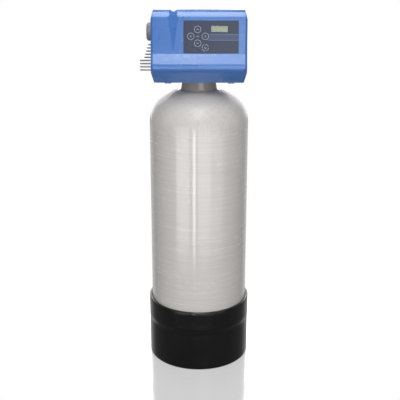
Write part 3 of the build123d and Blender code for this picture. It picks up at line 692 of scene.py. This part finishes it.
def carve(bm, cutter, operation="DIFFERENCE"):
    """Cuts a closed form out of another, or joins it on."""
    things = []
    for name, form in (("carved", bm), ("cutter", cutter)):
        mesh = bpy.data.meshes.new(name)
        form.to_mesh(mesh)
        things.append(link_object(name, mesh))
    modifier = things[0].modifiers.new("Carve", "BOOLEAN")
    modifier.operation = operation
    modifier.solver = "EXACT"
    modifier.object = things[1]
    graph = bpy.context.evaluated_depsgraph_get()
    result = bpy.data.meshes.new_from_object(things[0].evaluated_get(graph))
    bm.clear()
    bm.from_mesh(result)
    cutter.free()
    for thing in things:
        bpy.data.objects.remove(thing)


def dress(node):
    """Gives a CAD node that is kept its finish."""
    data = nodes[node].data
    data.materials.clear()
    data.materials.append(finishes[slot_of_node[node]])


# Vessel
def winding_relief(height, turn_angle):
    """Wound bands, from waves of unrelated pitch that drift a little round the vessel."""
    waves = ((0.0104, 1, 0.0, 1.0), (0.0067, -2, 1.3, 0.6), (0.0171, 1, 2.1, 0.7), (0.0236, -1, 0.4, 0.5))
    all_weights = 2.8
    total = 0.0
    for pitch, drift, offset, weight in waves:
        total += weight * sin(2 * pi * height / pitch + drift * turn_angle + offset)
    return total / all_weights


class FilterVessel(bpy.types.Operator):
    """Builds the wound vessel over its solid"""

    bl_idname = "filter.vessel"
    bl_label = "Wound vessel"

    def execute(self, context):
        size = context.scene.filter_vessel
        foot, top = (corner.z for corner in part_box("vessel_shell"))
        heel_rise, heel_inset = 0.060, 0.040
        lip, mouth, bore_depth = 0.0012, 0.0008, 0.0315
        neck_top = size.neck_radius - size.neck_taper
        hollow, hollow_foot = size.radius - size.wall, foot + 0.011
        knuckle_centre = size.radius - size.knuckle
        crown = (knuckle_centre**2 + size.dome**2 - size.knuckle**2) / (2 * (size.dome - size.knuckle))
        crown_z = size.shoulder + size.dome - crown
        rise = size.shoulder - crown_z
        joint_angle = atan2(rise, knuckle_centre)
        fillet = size.neck_fillet
        fillet_x = size.neck_radius + fillet
        fillet_angle = asin(fillet_x / (crown + fillet))
        fillet_z = crown_z + (crown + fillet) * cos(fillet_angle)
        moves = [
            ("to", size.radius - heel_inset, foot, 2),
            ("to", size.radius, foot + heel_rise, 4),
            ("to", size.radius, size.shoulder, 300),
            ("arc", knuckle_centre, size.shoulder, -joint_angle, 14),
            ("arc", 0.0, crown_z, -(pi / 2 - fillet_angle - joint_angle), 26),
            ("arc", fillet_x, fillet_z, pi / 2 - fillet_angle, 6),
            ("to", neck_top, top - lip, 5),
            ("to", neck_top - lip, top, 1),
            ("to", size.bore + mouth, top, 1),
            ("to", size.bore, top - mouth, 1),
            ("to", size.bore, top - bore_depth, 1),
            ("to", size.radius - 0.0265, size.shoulder + 0.0495, 1),
            ("to", hollow, size.shoulder, 1),
            ("to", hollow, foot + heel_rise, 1),
            ("to", hollow - heel_inset, hollow_foot, 1),
            ("to", 0.0, hollow_foot, 1),
        ]
        bm = turned_solid(foot, moves, ROUND_STEPS)
        for vertex in bm.verts:
            across = Vector((vertex.co.x, vertex.co.y))
            if across.length < size.radius - 0.001 or not foot + heel_rise < vertex.co.z < size.shoulder:
                continue
            lift = winding_relief(vertex.co.z, atan2(across.y, across.x)) * size.relief
            vertex.co.x += across.x / across.length * lift
            vertex.co.y += across.y / across.length * lift
        new_piece("wound_vessel", bm, "wound_shell", "vessel", ("vessel_shell",), weighted=False)
        return {"FINISHED"}


class FilterBoot(bpy.types.Operator):
    """Builds the boot with its rounded rim and fine step"""

    bl_idname = "filter.boot"
    bl_label = "Boot"

    def execute(self, context):
        size = context.scene.filter_boot
        low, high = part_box("base_boot")
        outside = (high.x - low.x) / 2
        bore = context.scene.filter_vessel.radius + 0.0003
        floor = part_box("vessel_shell")[0].z
        rim = size.rim_round
        lower = outside - size.step_depth
        foot_round, half_step = 0.004, 0.0006
        moves = [
            ("to", lower - foot_round, 0.0, 3),
            ("arc", lower - foot_round, foot_round, -pi / 2, 5),
            ("to", lower, size.step - half_step, 10),
            ("to", outside, size.step + half_step, 1),
            ("to", outside, high.z - rim, 6),
            ("arc", outside - rim, high.z - rim, -pi / 2, 5),
            ("to", bore + rim / 2, high.z, 1),
            ("arc", bore + rim / 2, high.z - rim / 2, -pi / 2, 3),
            ("to", bore, floor, 1),
            ("to", 0.0, floor, 1),
        ]
        bm = turned_solid(0.0, moves, ROUND_STEPS)
        new_piece("moulded_boot", bm, "boot_plastic", "vessel", ("base_boot",), weighted=False)
        return {"FINISHED"}


class FilterMedia(bpy.types.Operator):
    """Finishes the beds of grains and the pipes inside the vessel"""

    bl_idname = "filter.media"
    bl_label = "Filter media"

    def execute(self, context):
        beds = ("gravel_bed", "garnet_bed", "sand_bed", "anthracite_bed")
        for node in beds + ("riser_tube", "bottom_distributor", "top_distributor"):
            dress(node)
        return {"FINISHED"}


# Valve and drive
def drum(bm, place, low, height, radius, top_radius, segments):
    """A closed cylinder or cone that stands at a height over a place."""
    return bmesh.ops.create_cone(
        bm, cap_ends=True, segments=segments, radius1=radius, radius2=top_radius, depth=height,
        matrix=place @ Matrix.Translation((0, 0, low + height / 2)),
    )["verts"]


def hex_head(bm, across, height, place):
    """A hexagon head with a chamfered top and a washer face."""
    corners = drum(bm, place, 0.0, height, across, across, 6)
    top = place @ Vector((0, 0, height))
    normal = (place.to_3x3() @ Vector((0, 0, 1))).normalized()
    edges = {edge for vertex in corners for edge in vertex.link_edges}
    rim = [edge for edge in edges if all(abs((v.co - top).dot(normal)) < 1e-6 for v in edge.verts)]
    bevel(bm, rim, across * 0.14, 2)
    washer = 0.6 * MM
    drum(bm, place, 0.0, washer, across * 1.18, across * 1.12, 32)


def screws(name, node, places, shank):
    """A group of like screws: heads, washers and round shanks."""
    head, height, radius = 3.8 * MM, 3.0 * MM, 1.9 * MM
    bm = bmesh.new()
    for place in places:
        hex_head(bm, head, height, place)
        drum(bm, place, -shank, shank, radius, radius, 20)
    new_piece(name, bm, "screw_steel", body_of_node[node], (node,))


def facing(x, y, z, direction):
    """A place whose Z points in a direction."""
    turned = Vector((0, 0, 1)).rotation_difference(Vector(direction)).to_matrix().to_4x4()
    return Matrix.Translation((x, y, z)) @ turned


def thread(name, centre, radius, y0, y1, pitch):
    """A round thread over a port: a ridge that winds along Y."""
    turns, parts = int((y1 - y0) / pitch), 32
    root, crest = radius - 0.0002, radius + 0.0007
    bm = bmesh.new()
    corners = ((root, 0.0), (crest, 0.3), (crest, 0.5), (root, 0.8))
    ends = bm.faces.new([bm.verts.new((centre.x + r, y0 + pitch * share, centre.z)) for r, share in corners])
    bmesh.ops.spin(
        bm, geom=[ends], cent=(centre.x, 0.0, centre.z), axis=(0.0, 1.0, 0.0),
        dvec=(0.0, pitch / parts, 0.0), angle=2 * pi * turns, steps=parts * turns,
    )
    new_piece(name, bm, "valve_plastic", "vessel", weighted=False, smooth=False)


class FilterValve(bpy.types.Operator):
    """Rounds the valve body's edges and adds the threads of its ports"""

    bl_idname = "filter.valve"
    bl_label = "Control valve"

    def execute(self, context):
        softened_copy("valve_body", EDGE)
        softened_copy("spool_cap", EDGE)
        for node in ("spool_piston", "piston_rack"):
            softened_copy(node, 0.0002, segments=1)
        top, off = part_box("spool_cap")[1].z, 18.2 * MM
        places = [facing(x * off, y * off, top, (0, 0, 1)) for x in (-1, 1) for y in (-1, 1)]
        screws("hex_cap_screws", "cap_screws", places, 13.7 * MM)
        mouth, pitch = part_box("valve_body")[1].y, 0.0023
        for name, x, radius in (("left", -45.0, 16.6), ("right", 45.0, 16.6), ("drain", 0.0, 10.4)):
            port = Vector((x * MM, 0.0, PORT_HEIGHT))
            thread(name + "_port_thread", port, radius * MM, mouth - 0.019, mouth - 0.0015, pitch)
        return {"FINISHED"}


class FilterDrive(bpy.types.Operator):
    """Finishes the drive inside the housing"""

    bl_idname = "filter.drive"
    bl_label = "Drive"

    def execute(self, context):
        softened_copy("drive_bracket", 0.0004)
        softened_copy("gear_motor", 0.0012, segments=3)
        softened_copy("position_switch", 0.0003)
        for node in ("drive_shaft", "main_gear", "motor_pinion"):
            softened_copy(node, 0.00015, segments=1)
        motor = middle("gear_motor")
        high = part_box("gear_motor")[1]
        off = 11.4 * MM
        places = [facing(high.x, motor.y + s * off, motor.z - s * off, (1, 0, 0)) for s in (-1, 1)]
        screws("hex_motor_screws", "motor_screws", places, 26.0 * MM)
        return {"FINISHED"}


class FilterKnob(bpy.types.Operator):
    """Builds the manual knob with its grip flutes and pointer"""

    bl_idname = "filter.knob"
    bl_label = "Manual knob"

    def execute(self, context):
        low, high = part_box("manual_knob")
        centre = middle("manual_knob")
        radius = (high.y - low.y) / 2
        depth = high.x - low.x
        face, rounded, chamfer = 0.0125, 0.0062, 0.0008
        flutes, flute_depth = 24, 0.045
        moves = [
            ("to", radius - chamfer, 0.0, 4),
            ("to", radius, chamfer, 1),
            ("to", radius, depth - rounded, 4),
            ("arc", radius - rounded, depth - rounded, -pi / 2, 8),
            ("to", 0.0, depth - 0.0004, 6),
        ]
        bm = turned_solid(0.0, moves, 144)
        for vertex in bm.verts:
            across = Vector((vertex.co.x, vertex.co.y))
            if across.length < face:
                continue
            flute = max(0.0, cos(flutes * atan2(across.y, across.x))) ** 2
            share_in = min(1.0, (across.length - face) / (radius - face))
            across *= 1.0 - flute_depth * flute * share_in
            vertex.co.x, vertex.co.y = across
        place = Matrix.Translation((high.x, centre.y, centre.z)) @ Matrix.Rotation(-pi / 2, 4, "Y")
        new_piece(
            "grip_knob", bm, "knob_plastic", "drive", ("manual_knob",), place=place, weighted=False
        )
        bm = bmesh.new()
        block(bm, (0.0008, 0.0026, 0.0105))
        bevel(bm, bm.edges[:], 0.0003, 2)
        bmesh.ops.translate(bm, vec=(low.x, centre.y, centre.z + 0.0058), verts=bm.verts)
        new_piece("knob_pointer", bm, "ink", "drive")
        return {"FINISHED"}


# Housing
def groove_cutter(size):
    """A pyramid lying on its edge: it narrows from above the brow down to the groove's tip."""
    face = panel_frame()
    across = size.groove_x - face.translation.x
    tip = (size.groove_tip - face.translation.z) / face.col[1].z
    above, proud = 1.4, 0.2 * MM
    half, depth = size.groove_half * above, size.groove_depth * above
    top = tip + size.groove_run * above
    corners = [
        (across, tip, proud),
        (across, top, proud - depth),
        (across + half * 2.0, top, proud + depth),
        (across - half * 2.0, top, proud + depth),
    ]
    return hull(face @ Vector(corner) for corner in corners)


def crisp(mesh, low, high):
    """Keeps the creases in a box sharp."""
    bm = bmesh.new()
    bm.from_mesh(mesh)
    for edge in bm.edges:
        if len(edge.link_faces) == 2 and within(edge, low, high):
            edge.smooth = edge.smooth and edge.calc_face_angle() <= radians(CREASE_BEND)
    bm.to_mesh(mesh)
    bm.free()


class FilterHousing(bpy.types.Operator):
    """Rounds the two-piece housing's edges, cuts its groove wider and adds its screws and inlet"""

    bl_idname = "filter.housing"
    bl_label = "Housing"

    def execute(self, context):
        size = context.scene.filter_housing
        front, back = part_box("front_cover")
        tip, reach, notch_half = size.groove_tip, size.groove_half * 1.15, 0.0028
        groove = (
            (size.groove_x - reach, front.y, tip - 0.004),
            (size.groove_x + reach, back.y, back.z),
        )
        notch = (
            (size.groove_x - notch_half, front.y - MM, tip - 0.0305),
            (size.groove_x + notch_half, front.y + 0.0109, tip + 0.0001),
        )
        rounding = {"segments": 3, "wide": (30.0, 60.0, size.soft_edge)}
        cutter = groove_cutter(size)
        cover = softened_copy("front_cover", EDGE, cutter=cutter, spared=groove, notch=notch, **rounding)
        crisp(cover.data, *groove)
        softened_copy("rear_housing", EDGE, **rounding)
        softened_copy("power_inlet", 0.0003)
        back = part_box("rear_housing")[1].y
        places = [facing(side * 85.0 * MM, back, PORT_HEIGHT, (0, 1, 0)) for side in (-1, 1)]
        screws("hex_housing_screws", "housing_screws", places, 13.8 * MM)
        return {"FINISHED"}


# Panel
RING = 8.3  # radius of the printed rings, in millimetres


def panel_frame():
    """The overlay's front surface: X to the right, Y up the slanted panel, Z out of it."""
    normal = -Vector(joints["up_press"]["axis"]).normalized()
    across = Vector((1.0, 0.0, 0.0))
    up = normal.cross(across)
    centre = middle("control_panel") + normal * 0.5 * MM
    place = Matrix((across, up, normal)).transposed().to_4x4()
    place.translation = centre
    return place


def key_places():
    """Each key's centre in the panel's frame and its radius, in millimetres."""
    face = panel_frame()
    upward = face.col[1].z
    places = {}
    for name in ("up", "left", "enter", "right", "down", "regeneration"):
        spot = middle(name + "_key") - face.translation
        places[name] = (spot.x / MM, spot.z / upward / MM, extent(name + "_key").x / 2 / MM)
    return places


class FilterPanel(bpy.types.Operator):
    """Finishes the panel's overlay, the display behind its window and the board"""

    bl_idname = "filter.panel"
    bl_label = "Control panel"

    def execute(self, context):
        softened_copy("control_panel", 0.0002)
        softened_copy("display_window", 0.00025)
        softened_copy("lcd_module", 0.0003)
        softened_copy("circuit_board", 0.0002, segments=1)
        return {"FINISHED"}


def plate(bm, points, z0, z1):
    """A flat plate from its outline."""
    outline = bm.faces.new([bm.verts.new((x * MM, y * MM, z0)) for x, y in points])
    raised = bmesh.ops.extrude_face_region(bm, geom=[outline])
    top = [item for item in raised["geom"] if isinstance(item, bmesh.types.BMVert)]
    bmesh.ops.translate(bm, vec=(0.0, 0.0, z1 - z0), verts=top)


def arc_band(bm, centre, inner, outer, start, sweep, z0, z1, steps):
    """A flat band along an arc, or a whole ring."""
    x, y = centre
    corners = ((inner, z0), (outer, z0), (outer, z1), (inner, z1))
    section = [
        bm.verts.new(((x + r * cos(start)) * MM, (y + r * sin(start)) * MM, z)) for r, z in corners
    ]
    whole = sweep >= 2 * pi - 1e-6
    edges = [bm.edges.new((section[i], section[(i + 1) % 4])) for i in range(4)]
    geom = section + edges
    if not whole:
        geom = [bm.faces.new(section)] + geom
    bmesh.ops.spin(
        bm, geom=geom, cent=(x * MM, y * MM, 0.0), axis=(0.0, 0.0, 1.0), dvec=(0.0, 0.0, 0.0), angle=sweep,
        steps=steps, use_merge=whole,
    )


def chevron(bm, centre, heading, z0, z1):
    """An arrow head that points along a heading, in radians."""
    outline = [(1.9, 0.0), (-0.8, 2.9), (-1.5, 2.3), (0.6, 0.0), (-1.5, -2.3), (-0.8, -2.9)]
    points = []
    for x, y in outline:
        turned = (x * cos(heading) - y * sin(heading), x * sin(heading) + y * cos(heading))
        points.append((centre[0] + turned[0], centre[1] + turned[1]))
    plate(bm, points, z0, z1)


def key_pad(x, y, radius, proud):
    """A round pad with its stem, in the panel's frame."""
    edge, foot = 0.35, -1.4 * MM
    moves = [
        ("to", (radius - 0.1) * MM, foot, 2),
        ("to", radius * MM, -1.3 * MM, 1),
        ("to", radius * MM, proud - edge * MM, 1),
        ("arc", (radius - edge) * MM, proud - edge * MM, -pi / 2, 4),
        ("to", 0.0, proud, 3),
    ]
    bm = turned_solid(foot, moves, 64)
    stem = block(bm, (4.0 * MM, 4.0 * MM, 5.0 * MM))
    bmesh.ops.translate(bm, vec=(0.0, 0.0, -3.9 * MM), verts=stem)
    bmesh.ops.translate(bm, vec=(x * MM, y * MM, 0.0), verts=bm.verts)
    return bm


def broken_ring(bm, x, y, ring, z0, z1):
    """Four arcs with arrow tips, round a small handled sign."""
    sweep = radians(58)
    for i in range(4):
        start = radians(90 * i + 18)
        arc_band(bm, (x, y), RING - ring, RING, start, sweep, z0, z1, 14)
        tip = start + sweep
        points = []
        for r, turned in ((8.6, 0.0), (8.0 - ring / 2, radians(18)), (6.8, 0.0)):
            points.append((x + r * cos(tip + turned), y + r * sin(tip + turned)))
        plate(bm, points, z0, z1)
    arc_band(bm, (x - 0.2, y + 0.4), 1.3, 2.2, radians(130), radians(250), z0, z1, 20)
    plate(bm, [(x + 0.9, y - 3.0), (x + 2.6, y - 2.0), (x + 1.9, y - 1.0), (x + 0.5, y - 1.9)], z0, z1)


def oval(bm, x, y, z0, z1):
    """A small oval ring: two half rings and two bars."""
    half, inner, outer = 1.3, 0.9, 1.5
    for side in (-1, 1):
        arc_band(bm, (x + side * half, y), inner, outer, -side * pi / 2, pi, z0, z1, 12)
    for low in (y + inner, y - outer):
        high = low + outer - inner
        plate(bm, [(x - half, low), (x + half, low), (x + half, high), (x - half, high)], z0, z1)


class FilterKeys(bpy.types.Operator):
    """Builds the six keys, each with its printed ring and sign"""

    bl_idname = "filter.keys"
    bl_label = "Keys"

    def execute(self, context):
        ring = context.scene.filter_panel.ring_width / MM
        place = panel_frame()
        proud = 0.4 * MM
        z0, z1 = proud - 0.00002, proud + 0.00007
        headings = {"up": pi / 2, "left": pi, "right": 0.0, "down": -pi / 2}
        for name, (x, y, radius) in key_places().items():
            body = name + "_key_body"
            bm = key_pad(x, y, radius, proud)
            new_piece(name + "_pad", bm, "keys", body, (name + "_key",), place=place)
            bm = bmesh.new()
            if name == "regeneration":
                broken_ring(bm, x, y, ring, z0, z1)
            elif name == "enter":
                oval(bm, x, y, z0, z1)
            else:
                arc_band(bm, (x, y), RING - ring, RING, 0.0, 2 * pi, z0, z1, 64)
                chevron(bm, (x, y), headings[name], z0, z1)
            new_piece(
                name + "_print", bm, "ink", body, place=place, smooth=False, weighted=False
            )
        return {"FINISHED"}


# Stage
def softbox(name, azimuth, elevation, distance, width, height, power, target):
    """A rectangular lamp that faces a height on the vessel's axis. Angles are in degrees, and azimuth 0 is
    behind the camera, positive to its right."""
    azimuth, elevation = radians(azimuth), radians(elevation)
    lamp = bpy.data.lights.new(name, "AREA")
    lamp.shape = "RECTANGLE"
    lamp.size = width
    lamp.size_y = height
    lamp.energy = power
    holder = link_object(name, lamp)
    flat = distance * cos(elevation)
    holder.location = (flat * sin(azimuth), -flat * cos(azimuth), target + distance * sin(elevation))
    aim = Vector((0.0, 0.0, target)) - holder.location
    holder.rotation_euler = aim.to_track_quat("-Z", "Y").to_euler()
    holder.visible_camera = False
    return holder


def seen_directly(tree):
    """1 for what the camera sees, straight or through glass."""
    path = add(tree, "ShaderNodeLightPath").outputs
    return math("MAXIMUM", path["Is Camera Ray"], path["Is Transmission Ray"])


def mix(share, first, second):
    return derive("ShaderNodeMixShader", {0: share, 1: first, 2: second})[0]


def blank_tree(data):
    data.use_nodes = True
    data.node_tree.nodes.clear()
    return data.node_tree


def pale_world():
    world = bpy.data.worlds.new("Pale studio")
    bpy.context.scene.world = world
    tree = blank_tree(world)
    mirrored = add(tree, "ShaderNodeLightPath").outputs["Is Glossy Ray"]
    place = add(tree, "ShaderNodeTexCoord").outputs["Generated"]
    _, y, z = split(place)
    level = math("SQRT", minus(1.0001, times(z, z)))
    behind = math("DIVIDE", y, level)
    sides = remap(behind, -0.15, 0.3, 0.05, 0.2)
    backdrop = math("MAXIMUM", sides, remap(behind, 0.6, 0.85, 0.2, 0.65))
    levels = (((0.95, 0.97, 1.0, 1.0), 0.27), (WHITE, 1.0), (WHITE, backdrop))
    tone, white, sheen = [
        add(tree, "ShaderNodeBackground", {"Color": tint, "Strength": strength}).outputs[0]
        for tint, strength in levels
    ]
    mixed = mix(seen_directly(tree), tone, white)
    derive("ShaderNodeOutputWorld", {"Surface": mix(mirrored, mixed, sheen)})


def pale_floor(size):
    bm = bmesh.new()
    bmesh.ops.create_grid(bm, x_segments=1, y_segments=1, size=size / 2)
    floor = mesh_object("studio_floor", bm)
    floor.location.z = -0.0002
    floor.visible_glossy = False
    material = bpy.data.materials.new("Studio floor")
    tree = blank_tree(material)
    seen = seen_directly(tree)
    place = object_place(tree)
    away = derive("ShaderNodeVectorMath", {0: place}, operation="LENGTH")["Value"]
    whiteness = times(seen, remap(away, 0.13, 0.34, 0.7, 1.0))
    tone = blend(seen, (0.17, 0.17, 0.17, 1.0), WHITE)
    matt = derive("ShaderNodeBsdfDiffuse", {"Color": tone})[0]
    white = add(tree, "ShaderNodeEmission", {"Color": WHITE, "Strength": 1.0}).outputs[0]
    mirror = add(tree, "ShaderNodeBsdfGlossy", {"Color": WHITE, "Roughness": 0.1}).outputs[0]
    gloss = remap(away, 0.30, 0.45, 0.37, 0.0)
    glazed = mix(gloss, mix(whiteness, matt, white), mirror)
    derive("ShaderNodeOutputMaterial", {"Surface": glazed})
    floor.data.materials.append(material)


class FilterStage(bpy.types.Operator):
    """Sets the pale floor, the softboxes and the camera"""

    bl_idname = "filter.stage"
    bl_label = "Stage"

    def execute(self, context):
        size = context.scene.filter_stage
        pale_world()
        pale_floor(size.floor_size)
        softbox("Left softbox", -37, 0, 2.4, 1.35, 1.4, 14.0, 0.1)
        softbox("Right softbox", 44, 0, 2.4, 1.1, 1.4, 5.2, 0.1)
        softbox("Middle softbox", 13.5, 0, 2.4, 1.3, 1.95, 16.0, 0.375)
        softbox("Narrow strip", -10.5, 0, 2.4, 0.26, 1.15, 6.5, -0.025)
        softbox("Overhead softbox", 0, 63, 2.0, 0.8, 2.7, 34.0, 0.88)
        # The wings light the part without showing in its glossy surfaces
        for side in (-1, 1):
            wing = softbox(f"Wing softbox {side:+d}", 38 * side, 36, 2.2, 1.4, 1.4, 6.0, 0.75)
            wing.visible_glossy = False
            softbox(f"Back softbox {side:+d}", 160 * side, 15, 2.4, 1.4, 1.6, 16.0, 0.5)
        camera = bpy.data.cameras.new("Photo camera")
        camera.lens = size.focal
        camera.sensor_width = 36.0
        holder = link_object("Photo camera", camera)
        holder.location = (size.aside, -size.distance, size.height)
        aim = Matrix.Rotation(pi / 2 - size.tilt, 4, "X") @ Matrix.Rotation(size.roll, 4, "Z")
        holder.rotation_euler = aim.to_euler()
        context.scene.camera = holder
        context.scene.view_settings.view_transform = "Standard"
        return {"FINISHED"}


PIECES = (
    FilterVessel, FilterBoot, FilterMedia, FilterValve, FilterDrive, FilterKnob, FilterHousing, FilterPanel,
    FilterKeys, FilterStage,
)
SETTINGS = {
    "filter_vessel": VesselSettings,
    "filter_boot": BootSettings,
    "filter_housing": HousingSettings,
    "filter_panel": PanelSettings,
    "filter_stage": StageSettings,
}


class FilterSidebar(bpy.types.Panel):
    """Lists the pieces and their settings"""

    bl_idname = "VIEW3D_PT_water_filter"
    bl_label = "Water filter"
    bl_space_type = "VIEW_3D"
    bl_region_type = "UI"
    bl_category = "Water filter"

    def draw(self, context):
        for piece in PIECES:
            self.layout.operator(piece.bl_idname)
        for name, kind in SETTINGS.items():
            box = self.layout.box()
            for setting in kind.__annotations__:
                box.prop(getattr(context.scene, name), setting)


def register():
    for kind in list(SETTINGS.values()) + list(PIECES) + [FilterSidebar]:
        bpy.utils.register_class(kind)
    for name, kind in SETTINGS.items():
        setattr(bpy.types.Scene, name, bpy.props.PointerProperty(type=kind))


def unregister():
    for name in SETTINGS:
        delattr(bpy.types.Scene, name)
    for kind in [FilterSidebar] + list(reversed(PIECES)) + list(reversed(list(SETTINGS.values()))):
        bpy.utils.unregister_class(kind)


def main():
    register()
    make_finishes()
    for piece in PIECES:
        group, name = piece.bl_idname.split(".")
        getattr(getattr(bpy.ops, group), name)()


if __name__ == "__main__":
    main()
